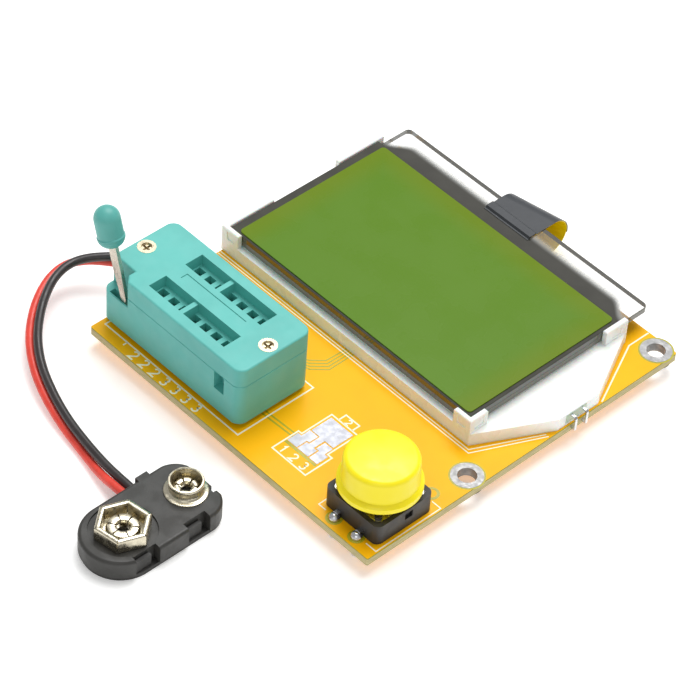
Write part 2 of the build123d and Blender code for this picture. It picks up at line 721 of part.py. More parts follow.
with BuildPart() as lever_knob:
    with BuildSketch(LEVER_PLANE):
        with BuildLine():
            Line((0, KNOB_START), (1.3, KNOB_START))
            Spline((1.3, KNOB_START), (2.1, KNOB_START + 0.8), (KNOB_COLLAR, KNOB_START + 1.7))
            Line((KNOB_COLLAR, KNOB_START + 1.7), (KNOB_RADIUS, KNOB_START + 1.9))
            Line((KNOB_RADIUS, KNOB_START + 1.9), (KNOB_RADIUS, KNOB_TIP - KNOB_RADIUS))
            RadiusArc((KNOB_RADIUS, KNOB_TIP - KNOB_RADIUS), (0, KNOB_TIP), -KNOB_RADIUS)
            Line((0, KNOB_TIP), (0, KNOB_START))
        make_face()
    revolve(axis=Axis(LEVER_POINT, LEVER_PLANE.y_dir))
    with BuildSketch(LEVER_PLANE):
        with Locations((0, (KNOB_START + ROD_END) / 2)):
            Rectangle(ROD_WIDTH, ROD_END - KNOB_START)
    extrude(amount=ROD_THICKNESS / 2, both=True, mode=Mode.SUBTRACT)
finish(lever_knob, "lever_knob")

# ---------------------------------------------------------------- push button
with BuildPart() as switch_base:
    with BuildSketch(at(*SWITCH, 0)):
        RectangleRounded(SWITCH_SIDE, SWITCH_SIDE, 1.2)
    extrude(amount=SWITCH_HEIGHT)
    with BuildSketch(at(*SWITCH, SWITCH_HEIGHT)):
        RectangleRounded(PLATE_SIDE, PLATE_SIDE, 1.0)
    extrude(amount=-PLATE_THICKNESS, mode=Mode.SUBTRACT)
    post(*SWITCH, 1.0, SWITCH_HEIGHT, STEM_RADIUS + 0.4, mode=Mode.SUBTRACT)
    with BuildSketch(at(*SWITCH, SWITCH_HEIGHT - PLATE_THICKNESS)):
        with GridLocations(2 * PEG_OFFSET, 2 * PEG_OFFSET, 2, 2):
            Circle(PEG_RADIUS)
    extrude(amount=PLATE_THICKNESS + 0.5)
    # Small moulding notch in the right-hand wall.
    block(SWITCH[0] + 5.5, SWITCH[0] + 6.0, 8.6, 10.2, 1.9, 3.2, mode=Mode.SUBTRACT)
finish(switch_base, "switch_base")

with BuildPart() as switch_plate:
    with BuildSketch(at(*SWITCH, SWITCH_HEIGHT - PLATE_THICKNESS)):
        RectangleRounded(PLATE_SIDE, PLATE_SIDE, 1.0)
        Circle(STEM_RADIUS + 0.15, mode=Mode.SUBTRACT)
        with GridLocations(2 * PEG_OFFSET, 2 * PEG_OFFSET, 2, 2):
            Circle(PEG_RADIUS, mode=Mode.SUBTRACT)
    extrude(amount=PLATE_THICKNESS)
finish(switch_plate, "switch_plate")

with BuildPart() as contact_dome:
    with BuildSketch(facing_front(*SWITCH, 0)):
        with BuildLine():
            outer = CenterArc((0, DOME_TOP - DOME_SPHERE), DOME_SPHERE, 90, -DOME_SWEEP)
            inner = CenterArc((0, DOME_TOP - DOME_SPHERE), DOME_SPHERE - 0.1, 90, -DOME_SWEEP)
            Line(outer @ 0, inner @ 0)
            Line(outer @ 1, inner @ 1)
        make_face()
    revolve(axis=Axis(at(*SWITCH, 0).origin, (0, 0, 1)))
finish(contact_dome, "contact_dome")

with BuildPart() as switch_stem:
    post(*SWITCH, STEM_BOTTOM, STEM_SHOULDER, STEM_RADIUS)
    with BuildSketch(at(*SWITCH, STEM_SHOULDER)):
        Rectangle(STEM_SQUARE, STEM_SQUARE)
    extrude(amount=STEM_TOP - STEM_SHOULDER)
    chamfer(switch_stem.edges().group_by(Axis.Z)[-1], length=0.3)
finish(switch_stem, "switch_stem")

with BuildPart() as button_cap:
    with BuildSketch(facing_front(*SWITCH, 0)) as cap_profile:
        with BuildLine():
            crown = CenterArc((0, CAP_TOP - CAP_SPHERE), CAP_SPHERE, 90, -8.7)
            Polyline(
                crown @ 1,
                (CAP_RADIUS, CAP_BOTTOM + 1.7),
                (CAP_RADIUS + 0.35, CAP_BOTTOM + 1.45),
                (FLANGE_RADIUS - 0.3, CAP_BOTTOM + 1.4),
                (FLANGE_RADIUS, CAP_BOTTOM + 1.1),
                (FLANGE_RADIUS, CAP_BOTTOM + 0.25),
                (FLANGE_RADIUS - 0.25, CAP_BOTTOM),
                (0, CAP_BOTTOM),
                crown @ 0,
            )
        make_face()
        fillet(cap_profile.vertices().sort_by_distance(crown @ 1)[0], radius=0.9)
    revolve(axis=Axis(at(*SWITCH, 0).origin, (0, 0, 1)))
    with BuildSketch(at(*SWITCH, CAP_BOTTOM)):
        Circle(CAP_RADIUS - CAP_WALL - 0.3)
        Rectangle(STEM_SQUARE + 2.0, STEM_SQUARE + 2.0, mode=Mode.SUBTRACT)
    extrude(amount=CAP_TOP - CAP_BOTTOM - 1.6, mode=Mode.SUBTRACT)
    with BuildSketch(at(*SWITCH, CAP_BOTTOM)):
        Rectangle(STEM_SQUARE, STEM_SQUARE)
    extrude(amount=STEM_TOP - CAP_BOTTOM, mode=Mode.SUBTRACT)
finish(button_cap, "button_cap")

with BuildPart() as switch_terminals:
    for x, y, end in TERMINALS:
        wall = SWITCH[1] + end * SWITCH_SIDE / 2
        with BuildSketch(facing_right(x, 0, 0)):
            with BuildLine():
                Polyline(
                    (wall, 0.7),
                    (wall, 1.1),
                    (y, 1.1),
                    (y + end * TERMINAL_THICKNESS / 2, 0.9),
                    (y + end * TERMINAL_THICKNESS / 2, PIN_END),
                    (y - end * TERMINAL_THICKNESS / 2, PIN_END),
                    (y - end * TERMINAL_THICKNESS / 2, 0.7),
                    close=True,
                )
            make_face()
        extrude(amount=TERMINAL_WIDTH / 2, both=True)
finish(switch_terminals, "switch_terminals")

# ---------------------------------------------------------------- solder and underside parts
with BuildPart() as solder_joints:
    for x, y in CONTACTS:
        with Locations(at(x, y, (UNDERSIDE + FLOOR) / 2)):
            Cone(0.4, 0.95, FLOOR_GAP)
        post(x, y, PIN_END, UNDERSIDE, PIN_RADIUS, mode=Mode.SUBTRACT)
    for x, y, end in TERMINALS:
        with Locations(at(x, y, (UNDERSIDE + FLOOR) / 2)):
            Cone(0.7, 1.1, FLOOR_GAP)
        post(x, y, 0, 0.35, 0.85)
        block(
            x - TERMINAL_WIDTH / 2,
            x + TERMINAL_WIDTH / 2,
            y - TERMINAL_THICKNESS / 2,
            y + TERMINAL_THICKNESS / 2,
            PIN_END,
            0.5,
            mode=Mode.SUBTRACT,
        )
    block(SWITCH[0] - 6, SWITCH[0] + 6, SWITCH[1] - 6, SWITCH[1] + 6, 0, 0.5, mode=Mode.SUBTRACT)
finish(solder_joints, "solder_joints")

# Each lead's tinned end, running on from its insulation into a bead of solder on the board.
with BuildPart() as lead_ends:
    for route in (BLACK_ROUTE, RED_ROUTE):
        start = Vector(*route[0])
        heading = (start - Vector(*route[1])).normalized()
        with BuildSketch(Plane(at(*start).origin, z_dir=heading)):
            Circle(0.4)
        extrude(amount=1.4)
        bead = start + heading * 1.5
        with Locations(at(bead.X, bead.Y, bead.Z / 2)):
            Cone(1.0, 0.5, bead.Z)
finish(lead_ends, "lead_ends")

CHIP_SIDE = 7.0
CHIP_PLACE = (33.0, 38.0)
CHIP_PINS = 8
CHIP_PIN_PITCH = 0.8
with BuildPart() as microcontroller:
    with BuildSketch(at(*CHIP_PLACE, UNDERSIDE - 0.1)):
        Rectangle(CHIP_SIDE, CHIP_SIDE)
    extrude(amount=-1.0)
    chamfer(microcontroller.edges().group_by(Axis.Z)[0], length=0.15)
finish(microcontroller, "microcontroller")

with BuildPart() as microcontroller_leads:
    for quarter in range(4):
        with BuildSketch(at(*CHIP_PLACE, UNDERSIDE).rotated((0, 0, 90 * quarter))):
            with Locations((CHIP_SIDE / 2 + 0.5, 0)):
                with GridLocations(1, CHIP_PIN_PITCH, 1, CHIP_PINS):
                    Rectangle(1.0, 0.35)
        extrude(amount=-0.45)
finish(microcontroller_leads, "microcontroller_leads")

with BuildPart() as voltage_regulator:
    block(9.0, 13.5, 36.0, 38.5, UNDERSIDE - 1.5, UNDERSIDE)
    for x in (9.75, 11.25, 12.75):
        block(x - 0.25, x + 0.25, 34.9, 36.0, UNDERSIDE - 0.4, UNDERSIDE)
    block(10.35, 12.15, 38.5, 39.3, UNDERSIDE - 0.4, UNDERSIDE)
finish(voltage_regulator, "voltage_regulator")

with BuildPart() as crystal:
    with BuildSketch(at(44.5, 38.0, UNDERSIDE)):
        RectangleRounded(3.2, 5.0, 0.4)
    extrude(amount=-1.3)
finish(crystal, "crystal")

TRANSISTORS = [(17.0, 46.0), (21.0, 46.0), (17.0, 52.0)]
with BuildPart() as transistors:
    for x, y in TRANSISTORS:
        block(x - 1.45, x + 1.45, y - 0.65, y + 0.65, UNDERSIDE - 1.1, UNDERSIDE)
        for dx, side in ((-0.95, -1), (0.95, -1), (0, 1)):
            foot = y + side * 0.9
            block(x + dx - 0.2, x + dx + 0.2, foot - 0.3, foot + 0.3, UNDERSIDE - 0.2, UNDERSIDE)
finish(transistors, "transistors")

RESISTORS = [(22.0 + 3.0 * i, 28.0) for i in range(6)] + [(46.0, 47.0 + 3.0 * i) for i in range(3)]
CAPACITORS = [(27.0, 31.5), (39.0, 31.5), (41.0, 44.5), (8.0, 42.0), (14.5, 31.5)]
with BuildPart() as chip_resistors:
    with BuildSketch(at(0, 0, UNDERSIDE)):
        with Locations(*RESISTORS):
            Rectangle(1.25, 2.0)
    extrude(amount=-0.5)
finish(chip_resistors, "chip_resistors")

with BuildPart() as chip_capacitors:
    with BuildSketch(at(0, 0, UNDERSIDE)):
        with Locations(*CAPACITORS):
            Rectangle(2.0, 1.25)
    extrude(amount=-1.0)
finish(chip_capacitors, "chip_capacitors")

# ---------------------------------------------------------------- battery snap and leads
LEAD_ENDS = [BLACK_ROUTE[-1], RED_ROUTE[-1]]


def snap_outline(inset):
    """Plan of the snap: a half round at the hexagonal end and a blunter one at the other."""
    half = SNAP_WIDTH / 2 - inset
    front = SNAP_FRONT + inset
    back = SNAP_BACK - inset
    with BuildLine() as outline:
        ThreePointArc((SNAP_X - half, front + half), (SNAP_X, front), (SNAP_X + half, front + half))
        Line((SNAP_X + half, front + half), (SNAP_X + half, back - 3.4))
        ThreePointArc((SNAP_X + half, back - 3.4), (SNAP_X + 5.6, back - 1.3), (SNAP_X + 3.9, back))
        Line((SNAP_X + 3.9, back), (SNAP_X - 3.9, back))
        ThreePointArc((SNAP_X - 3.9, back), (SNAP_X - 5.6, back - 1.3), (SNAP_X - half, back - 3.4))
        Line((SNAP_X - half, back - 3.4), (SNAP_X - half, front + half))
    make_face(outline.edges())


SNAP_LEFT = SNAP_X - SNAP_WIDTH / 2
SNAP_RIGHT = SNAP_X + SNAP_WIDTH / 2
SLOT_DEPTH = 1.5
SLOTS = [(-27.1, -22.6), (-16.8, -12.5)]
HOOK_GAP = 0.15
HOOK_SETBACK = 0.7
with BuildPart() as snap_shell:
    with BuildSketch(at(0, 0, SNAP_PLATE_TOP)):
        snap_outline(0)
    extrude(amount=SNAP_TOP - SNAP_PLATE_TOP)
    fillet(snap_shell.edges().group_by(Axis.Z)[-1], radius=0.6)
    # A boss over the leads' exit.
    block(SNAP_LEFT - 0.5, SNAP_LEFT + 1.2, -16.2, -13.9, SNAP_PLATE_TOP, SNAP_TOP)
    # A round recess under the hexagonal contact and a seat for each contact.
    post(SNAP_X, SOCKET_STUD_Y, SNAP_TOP - 0.35, SNAP_TOP, 5.5, mode=Mode.SUBTRACT)
    post(SNAP_X, SOCKET_STUD_Y, SNAP_TOP - 0.95, SNAP_TOP, 4.0, mode=Mode.SUBTRACT)
    post(SNAP_X, PIN_STUD_Y, SNAP_TOP - 0.6, SNAP_TOP, 3.6, mode=Mode.SUBTRACT)
    # Two slots for the plate's hooks in the right-hand edge, one more in the far end and the
    # leads' sockets on the left.
    for y0, y1 in SLOTS:
        block(SNAP_RIGHT - SLOT_DEPTH, SNAP_RIGHT, y0, y1, SNAP_PLATE_TOP, SNAP_TOP, mode=Mode.SUBTRACT)
    block(
        SNAP_X + 1.6,
        SNAP_X + 3.0,
        SNAP_BACK - 0.9,
        SNAP_BACK,
        SNAP_TOP - 1.4,
        SNAP_TOP,
        mode=Mode.SUBTRACT,
    )
    for x, y, z in LEAD_ENDS:
        with BuildSketch(facing_right(x, y, z)):
            Circle(LEAD_DIAMETER / 2 + 0.05)
        extrude(amount=-LEAD_SOCKET - 1, mode=Mode.SUBTRACT)
finish(snap_shell, "snap_shell")

with BuildPart() as snap_plate:
    with BuildSketch(at(0, 0, FLOOR)):
        snap_outline(0.3)
    extrude(amount=SNAP_PLATE_TOP - FLOOR)
    for y0, y1 in SLOTS:
        block(
            SNAP_RIGHT - SLOT_DEPTH + HOOK_GAP,
            SNAP_RIGHT - HOOK_SETBACK,
            y0 + HOOK_GAP,
            y1 - 1.2,
            FLOOR,
            SNAP_TOP - 1.1,
        )
finish(snap_plate, "snap_plate")

# Hexagonal contact: six folded lips round a springy crown of petals.
with BuildPart() as hex_contact:
    with BuildSketch(at(SNAP_X, SOCKET_STUD_Y, SNAP_TOP - 0.35)):
        RegularPolygon(HEX_FLATS / 2, 6, major_radius=False, rotation=HEX_TURN)
        RegularPolygon(HEX_FLATS / 2 - 1.0, 6, major_radius=False, rotation=HEX_TURN, mode=Mode.SUBTRACT)
    extrude(amount=HEX_TOP - SNAP_TOP + 0.35)
    fillet(hex_contact.edges().group_by(Axis.Z)[-1], radius=0.3)
    with BuildSketch(at(SNAP_X, SOCKET_STUD_Y, SNAP_TOP - 0.3)):
        with PolarLocations(HEX_FLATS / 2, 6, start_angle=HEX_TURN):
            Rectangle(2.6, 0.2)
    extrude(amount=HEX_TOP, mode=Mode.SUBTRACT)
    post(SNAP_X, SOCKET_STUD_Y, SNAP_TOP - 0.95, SNAP_TOP - 0.35, 4.0)
    post(SNAP_X, SOCKET_STUD_Y, SNAP_TOP - 0.95, SNAP_TOP + 0.6, 2.4)
    post(SNAP_X, SOCKET_STUD_Y, SNAP_TOP - 0.35, SNAP_TOP + 0.6, 1.2, mode=Mode.SUBTRACT)
finish(hex_contact, "hex_contact")

with BuildPart() as stud_contact:
    with BuildSketch(facing_front(SNAP_X, PIN_STUD_Y, 0)):
        with BuildLine():
            Polyline(
                (0, SNAP_TOP - 0.6),
                (3.6, SNAP_TOP - 0.6),
                (3.6, SNAP_TOP + 0.25),
                (2.7, SNAP_TOP + 0.35),
                (2.6, SNAP_TOP + 0.9),
                (STUD_RADIUS, STUD_TOP - 0.8),
                (STUD_RADIUS, STUD_TOP - 0.25),
                (STUD_RADIUS - 0.2, STUD_TOP),
                (STUD_RADIUS - 0.4, STUD_TOP),
                (STUD_RADIUS - 0.5, STUD_TOP - 0.3),
                (2.2, SNAP_TOP + 0.9),
                (2.2, SNAP_TOP + 0.4),
                (1.5, SNAP_TOP + 1.1),
                (1.0, SNAP_TOP + 0.3),
                (0, SNAP_TOP + 0.3),
                close=True,
            )
        make_face()
    revolve(axis=Axis(at(SNAP_X, PIN_STUD_Y, 0).origin, (0, 0, 1)))
finish(stud_contact, "stud_contact")


def corner_radii(points):
    """Radius of each bend of a lead: 0.45 of its shorter run over the tangent of half its turn."""
    radii = []
    for before, corner, after in zip(points, points[1:], points[2:]):
        first = corner - before
        second = after - corner
        half_turn = radians(first.get_angle(second)) / 2
        radii.append(0.45 * min(first.length, second.length) / tan(half_turn))
    return radii


def lead_tube(points, radii):
    """Sweep a lead's round section along its route, in the part being built."""
    with BuildLine() as path:
        FilletPolyline(*points, radius=radii)
    with BuildSketch(Plane(path.line @ 0, z_dir=path.line % 0)) as section:
        Circle(LEAD_DIAMETER / 2)
    sweep(section.sketch, path=path.line)
    return path.wire().length


BOARD_CORNER_POINT = Vector(BOARD_LEFT, BOARD_FRONT, BOARD_TOP)
for name, route in (("black_lead", BLACK_ROUTE), ("red_lead", RED_ROUTE)):
    route_points = [BOARD_CORNER_POINT + Vector(*point) for point in route]
    bends = corner_radii(route_points)
    with BuildPart() as lead:
        length = lead_tube(route_points, bends)
    finish(lead, name)
    print(name, "length", round(length, 1), "radii", [round(radius, 1) for radius in bends])
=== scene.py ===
from math import cos, pi, radians, sin

import bmesh
import bpy
from mathutils import Matrix, Vector


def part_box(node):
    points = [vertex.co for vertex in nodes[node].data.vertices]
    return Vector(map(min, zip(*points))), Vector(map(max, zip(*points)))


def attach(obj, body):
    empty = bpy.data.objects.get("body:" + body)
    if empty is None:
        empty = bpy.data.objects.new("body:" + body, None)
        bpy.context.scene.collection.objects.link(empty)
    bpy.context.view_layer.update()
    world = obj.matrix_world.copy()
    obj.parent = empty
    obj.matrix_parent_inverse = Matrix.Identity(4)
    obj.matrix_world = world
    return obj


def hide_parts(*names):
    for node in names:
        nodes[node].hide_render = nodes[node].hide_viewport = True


# Component tester.  Lengths below are in millimetres from the board's front-left top corner, as in
# the part's source; at() turns them into the row frame, in metres.
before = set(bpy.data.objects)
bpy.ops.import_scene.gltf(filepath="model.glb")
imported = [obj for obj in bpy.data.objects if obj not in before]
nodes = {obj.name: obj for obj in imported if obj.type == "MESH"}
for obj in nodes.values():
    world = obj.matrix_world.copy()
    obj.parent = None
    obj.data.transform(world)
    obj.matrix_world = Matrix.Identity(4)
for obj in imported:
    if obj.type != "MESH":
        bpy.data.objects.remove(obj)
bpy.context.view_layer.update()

MM = 0.001
BOARD_LOW, BOARD_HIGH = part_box("circuit_board")
BOARD_CORNER = Vector((BOARD_LOW.x, BOARD_LOW.y, BOARD_HIGH.z))
UNDERSIDE = (BOARD_LOW.z - BOARD_HIGH.z) / MM
FLOOR = -BOARD_HIGH.z / MM


def at(x, y, z=0.0):
    """A point of the tester, from millimetres off the board's corner to the row frame."""
    return BOARD_CORNER + Vector((x, y, z)) * MM


def extent(node):
    """Lowest and highest corner of a CAD node, in millimetres off the board's corner."""
    low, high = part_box(node)
    return (low - BOARD_CORNER) / MM, (high - BOARD_CORNER) / MM


def middle(node):
    """Middle of a CAD node's plan."""
    low, high = extent(node)
    return (low.x + high.x) / 2, (low.y + high.y) / 2


# ------------------------------------------------------------------ camera
CAMERA_PLACE = at(297.4, -248.9, 383.2)
CAMERA_AZIMUTH = radians(43.85)
CAMERA_ELEVATION = radians(44.88)
CAMERA_ROLL = radians(4.49)
CAMERA_LENS = 173.3

camera_data = bpy.data.cameras.new("camera")
camera_data.lens = CAMERA_LENS
camera_data.sensor_width = 36.0
camera = bpy.data.objects.new("camera", camera_data)
bpy.context.scene.collection.objects.link(camera)
camera.matrix_world = (
    Matrix.Translation(CAMERA_PLACE)
    @ Matrix.Rotation(CAMERA_AZIMUTH, 4, "Z")
    @ Matrix.Rotation(pi / 2 - CAMERA_ELEVATION, 4, "X")
    @ Matrix.Rotation(CAMERA_ROLL, 4, "Z")
)
bpy.context.scene.camera = camera

# ------------------------------------------------------------------ the two battery leads
LEAD_DIAMETER = 1.5
BLACK_ROUTE = [
    (1.4, 22.6, 1.3),
    (-2.4, 19.0, 2.1),
    (-5.5, 15.2, 2.4),
    (-8.5, 11.4, 2.5),
    (-10.8, 8.5, 2.3),
    (-12.0, 5.6, 1.9),
    (-11.4, 2.0, 1.6),
    (-9.3, -1.8, 1.2),
    (-6.2, -5.6, 0.7),
    (-2.6, -8.9, 0.2),
    (1.9, -11.6, -0.5),
    (7.2, -13.6, -1.1),
    (12.6, -15.1, -1.5),
    (18.2, -16.1, -1.6),
    (23.6, -16.8, -1.6),
    (28.2, -17.0, -1.5),
    (32.2, -17.0, -1.5),
]
RED_ROUTE = [
    (1.4, 19.9, 0.9),
    (-2.4, 16.9, 0.9),
    (-5.5, 14.2, 0.9),
    (-8.6, 11.8, 0.9),
    (-11.5, 9.3, 0.8),
    (-13.2, 6.2, 0.7),
    (-12.9, 2.4, 0.5),
    (-10.8, -2.0, 0.2),
    (-7.4, -6.4, -0.3),
    (-3.4, -9.9, -1.0),
    (1.6, -12.7, -1.7),
    (7.0, -14.6, -2.4),
    (12.6, -15.9, -2.9),
    (18.4, -16.8, -3.2),
    (23.8, -18.0, -2.7),
    (28.2, -18.65, -1.6),
    (32.2, -18.65, -1.5),
]


def lead(name, route, node):
    """A free lead: one smooth curve on its route, standing for its CAD tube."""
    curve = bpy.data.curves.new(name, "CURVE")
    curve.dimensions = "3D"
    curve.bevel_depth = LEAD_DIAMETER / 2 * MM
    curve.bevel_resolution = 6
    curve.resolution_u = 10
    curve.use_fill_caps = True
    spline = curve.splines.new("NURBS")
    spline.points.add(len(route) - 1)
    for point, place in zip(spline.points, route):
        point.co = (*at(*place), 1.0)
    spline.order_u = 3
    spline.use_endpoint_u = True
    piece = bpy.data.objects.new(name, curve)
    bpy.context.scene.collection.objects.link(piece)
    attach(piece, "board")
    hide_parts(node)
    return piece


black_insulation = lead("black_insulation", BLACK_ROUTE, "black_lead")
red_insulation = lead("red_insulation", RED_ROUTE, "red_lead")


# ------------------------------------------------------------------ materials
def tint(red, green, blue):
    """A colour given as screen values from 0 to 255, as the shader's linear colour."""

    def linear(value):
        value = value / 255
        return value / 12.92 if value <= 0.04045 else ((value + 0.055) / 1.055) ** 2.4

    return (linear(red), linear(green), linear(blue), 1.0)


def scaled(colour, factor):
    """The same colour, darker or lighter."""
    return tuple(min(1.0, channel * factor) for channel in colour[:3]) + (1.0,)


class Surface:
    """A procedural material built round one Principled shader, in the object's own coordinates."""

    def __init__(self, name, colour, roughness, metallic=0.0):
        self.material = bpy.data.materials.new(name)
        self.material.use_nodes = True
        self.tree = self.material.node_tree
        self.shader = self.tree.nodes["Principled BSDF"]
        self.shader.inputs["Base Color"].default_value = colour
        self.shader.inputs["Roughness"].default_value = roughness
        self.shader.inputs["Metallic"].default_value = metallic
        self.place = self.tree.nodes.new("ShaderNodeTexCoord").outputs["Object"]

    def set(self, **values):
        """Set plain sockets of the shader, by name with underscores for spaces."""
        for name, value in values.items():
            self.shader.inputs[name.replace("_", " ")].default_value = value
        return self

    def link(self, output, target):
        self.tree.links.new(output, target)

    def noise(self, size, detail=3.0, stretch=(1, 1, 1)):
        """Noise whose features are about size millimetres across."""
        mapping = self.tree.nodes.new("ShaderNodeMapping")
        mapping.inputs["Scale"].default_value = stretch
        self.link(self.place, mapping.inputs["Vector"])
        texture = self.tree.nodes.new("ShaderNodeTexNoise")
        texture.inputs["Scale"].default_value = 1 / (size * MM)
        texture.inputs["Detail"].default_value = detail
        self.link(mapping.outputs["Vector"], texture.inputs["Vector"])
        return texture.outputs["Fac"]

    def span(self, value, low, high, to_low=0.0, to_high=1.0):
        """Map a value's range to another range."""
        node = self.tree.nodes.new("ShaderNodeMapRange")
        node.interpolation_type = "SMOOTHSTEP"
        limits = {"From Min": low, "From Max": high, "To Min": to_low, "To Max": to_high}
        for name, number in limits.items():
            node.inputs[name].default_value = number
        self.link(value, node.inputs["Value"])
        return node.outputs["Result"]

    def blend(self, factor, first, second):
        """Mix two colours, each a socket or a plain colour."""
        node = self.tree.nodes.new("ShaderNodeMix")
        node.data_type = "RGBA"
        self.link(factor, node.inputs["Factor"])
        for socket, colour in ((node.inputs[6], first), (node.inputs[7], second)):
            if isinstance(colour, tuple):
                socket.default_value = colour
            else:
                self.link(colour, socket)
        return node.outputs[2]

    def math(self, operation, first, second=0.0):
        node = self.tree.nodes.new("ShaderNodeMath")
        node.operation = operation
        for socket, value in zip(node.inputs, (first, second)):
            if isinstance(value, (int, float)):
                socket.default_value = value
            else:
                self.link(value, socket)
        return node.outputs[0]

    def axis(self, name):
        """The point's X, Y or Z in the row frame, in metres."""
        node = self.tree.nodes.new("ShaderNodeSeparateXYZ")
        self.link(self.place, node.inputs[0])
        return node.outputs[name]

    def upward(self):
        """The Z part of the surface's normal."""
        geometry = self.tree.nodes.new("ShaderNodeNewGeometry")
        split = self.tree.nodes.new("ShaderNodeSeparateXYZ")
        self.link(geometry.outputs["Normal"], split.inputs[0])
        return split.outputs["Z"]

    def colour(self, output):
        self.link(output, self.shader.inputs["Base Color"])
        return self

    def mottled(self, colour, size, amount):
        """Base colour that drifts a little lighter and darker."""
        drift = self.span(self.noise(size), 0.3, 0.7)
        return self.blend(drift, scaled(colour, 1 - amount), scaled(colour, 1 + amount))

    def smudged(self, low, high, size):
        """Roughness that varies between two values."""
        self.link(self.span(self.noise(size), 0.35, 0.65, low, high), self.shader.inputs["Roughness"])
        return self

    def bumped(self, height, depth, strength=1.0):
        """Bump of the given depth in millimetres from a height socket."""
        bump = self.tree.nodes.new("ShaderNodeBump")
        bump.inputs["Distance"].default_value = depth * MM
        bump.inputs["Strength"].default_value = strength
        self.link(height, bump.inputs["Height"])
        self.link(bump.outputs["Normal"], self.shader.inputs["Normal"])
        return self


def moulded(name, colour, roughness=0.5, grain=0.25, depth=0.012, drift=0.06):
    """Injection-moulded plastic with a fine spark-eroded grain."""
    surface = Surface(name, colour, roughness)
    surface.colour(surface.mottled(colour, 6.0, drift))
    surface.smudged(roughness - 0.06, roughness + 0.08, 2.5)
    surface.bumped(surface.noise(grain, 4.0), depth)
    return surface.material


def metal(name, colour, roughness=0.22, stretch=(1, 1, 1), depth=0.004, drift=0.12):
    """Plated or drawn metal with faint streaks and tarnish."""
    surface = Surface(name, colour, roughness, metallic=1.0)
    surface.colour(surface.mottled(colour, 1.6, drift))
    surface.smudged(roughness - 0.07, roughness + 0.1, 0.9)
    surface.bumped(surface.noise(0.35, 4.0, stretch), depth)
    return surface.material


def film(name, colour, roughness, coat=0.0):
    """Thin plastic film or tape."""
    surface = Surface(name, colour, roughness).set(Coat_Weight=coat, Coat_Roughness=0.12)
    surface.colour(surface.mottled(colour, 3.0, 0.05))
    surface.smudged(roughness - 0.05, roughness + 0.05, 1.8)
    surface.bumped(surface.noise(1.2, 2.0), 0.01)
    return surface.material


MASK = tint(252, 184, 0)
LAMINATE = tint(196, 184, 138)
MASK_OVER_COPPER = tint(176, 168, 10)
SILK = tint(255, 250, 222)


def board_material():
    """Solder mask on the faces, glass laminate with its plies on the cut edges."""
    surface = Surface("solder_mask", MASK, 0.34)
    surface.set(Coat_Weight=0.06, Coat_Roughness=0.1, Specular_IOR_Level=0.18)
    mask = surface.mottled(MASK, 9.0, 0.035)
    height = surface.axis("Z")
    plies = surface.span(surface.noise(0.2, 2.0, (0.1, 0.1, 2.0)), 0.35, 0.65)
    laminate = surface.blend(plies, scaled(LAMINATE, 0.82), scaled(LAMINATE, 1.1))
    rim = surface.span(height, BOARD_HIGH.z - 0.35 * MM, BOARD_HIGH.z - 0.12 * MM)
    laminate = surface.blend(rim, laminate, tint(150, 148, 40))
    facing = surface.math("ABSOLUTE", surface.upward())
    face = surface.span(facing, 0.4, 0.6)
    surface.colour(surface.blend(face, laminate, mask))
    surface.link(surface.span(face, 0.0, 1.0, 0.75, 0.34), surface.shader.inputs["Roughness"])
    surface.bumped(surface.noise(0.7, 3.0), 0.006)
    return surface.material


def display_material():
    """Yellow-green polariser: even in the middle, more olive towards its edges."""
    low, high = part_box("front_polariser")
    green = tint(91, 129, 34)
    olive = tint(102, 127, 22)
    surface = Surface("green_polariser", green, 0.28).set(Coat_Weight=0.05, Coat_Roughness=0.05)
    surface.set(Specular_IOR_Level=0.15)
    inward = surface.math(
        "MINIMUM",
        surface.math("SUBTRACT", surface.axis("X"), low.x),
        surface.math("SUBTRACT", high.x, surface.axis("X")),
    )
    inward = surface.math("MINIMUM", inward, surface.math("SUBTRACT", high.y, surface.axis("Y")))
    edge = surface.span(inward, 0.0, 6 * MM, 1.0, 0.0)
    surface.colour(surface.blend(edge, surface.mottled(green, 14.0, 0.008), olive))
    surface.smudged(0.24, 0.33, 8.0)
    surface.bumped(surface.noise(0.08, 2.0), 0.002)
    return surface.material


def glass_material(name, colour, roughness=0.05):
    """Dark reflecting border of the display's glass."""
    surface = Surface(name, colour, roughness).set(Coat_Weight=0.6, Coat_Roughness=0.03)
    surface.colour(surface.mottled(colour, 3.0, 0.12))
    surface.smudged(max(roughness - 0.03, 0.02), roughness + 0.04, 4.0)
    surface.bumped(surface.noise(5.0, 2.0), 0.004)
    return surface.material


